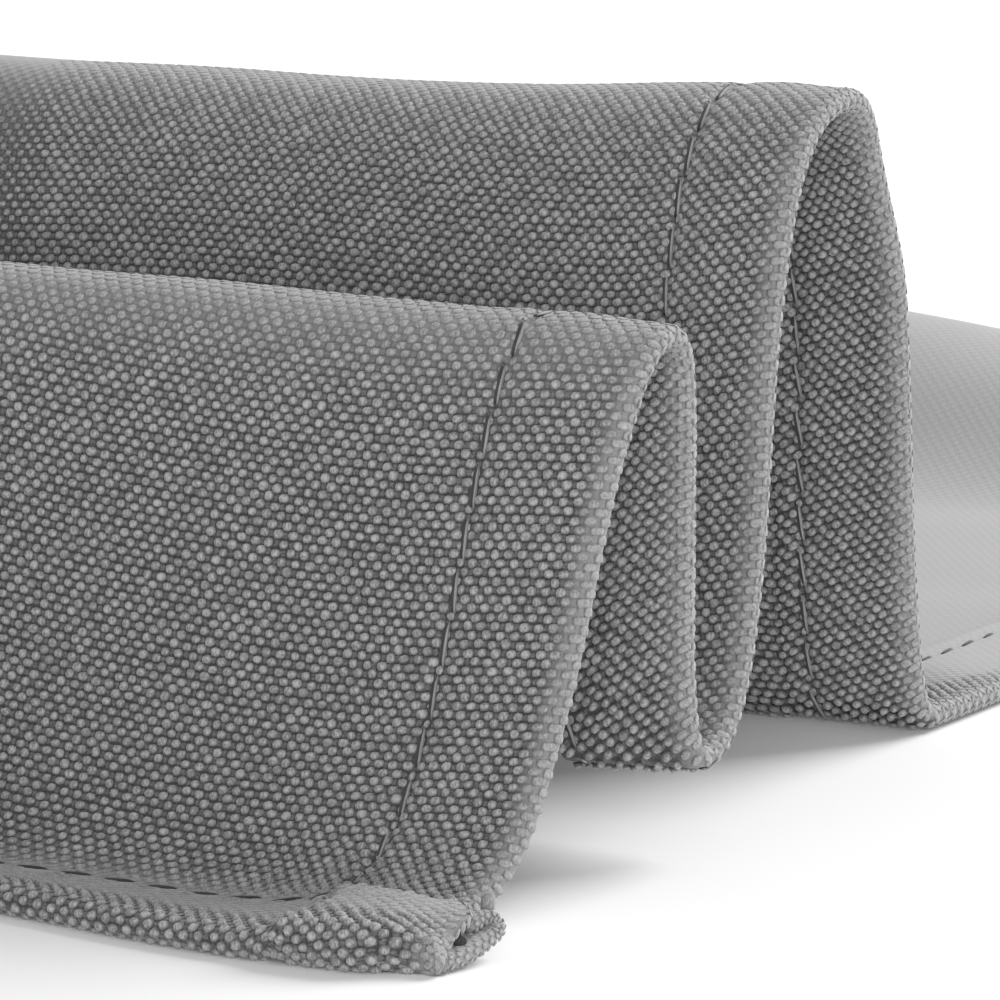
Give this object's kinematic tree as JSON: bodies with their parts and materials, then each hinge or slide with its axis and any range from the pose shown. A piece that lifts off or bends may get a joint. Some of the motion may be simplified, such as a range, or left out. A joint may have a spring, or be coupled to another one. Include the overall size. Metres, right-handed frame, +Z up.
{
  "type": "folded tablecloth",
  "caption": "Hemmed length of coarse grey plain-weave table linen, folded back and forth so that its folds stand on edge and its tail lies flat behind them.",
  "frame": {"origin": "middle of the cloth's footprint, on the surface that it lies on", "axes": "+X along the folds towards the side hem that the picture shows, +Y from the front hem to the tail, +Z up"},
  "size_m": [0.2508, 0.2454, 0.0478],
  "materials": {
    "linen": "matt, coarse woven"
  },
  "bodies": {
    "root": {"cloth": "linen"}
  },
  "joints": []
}
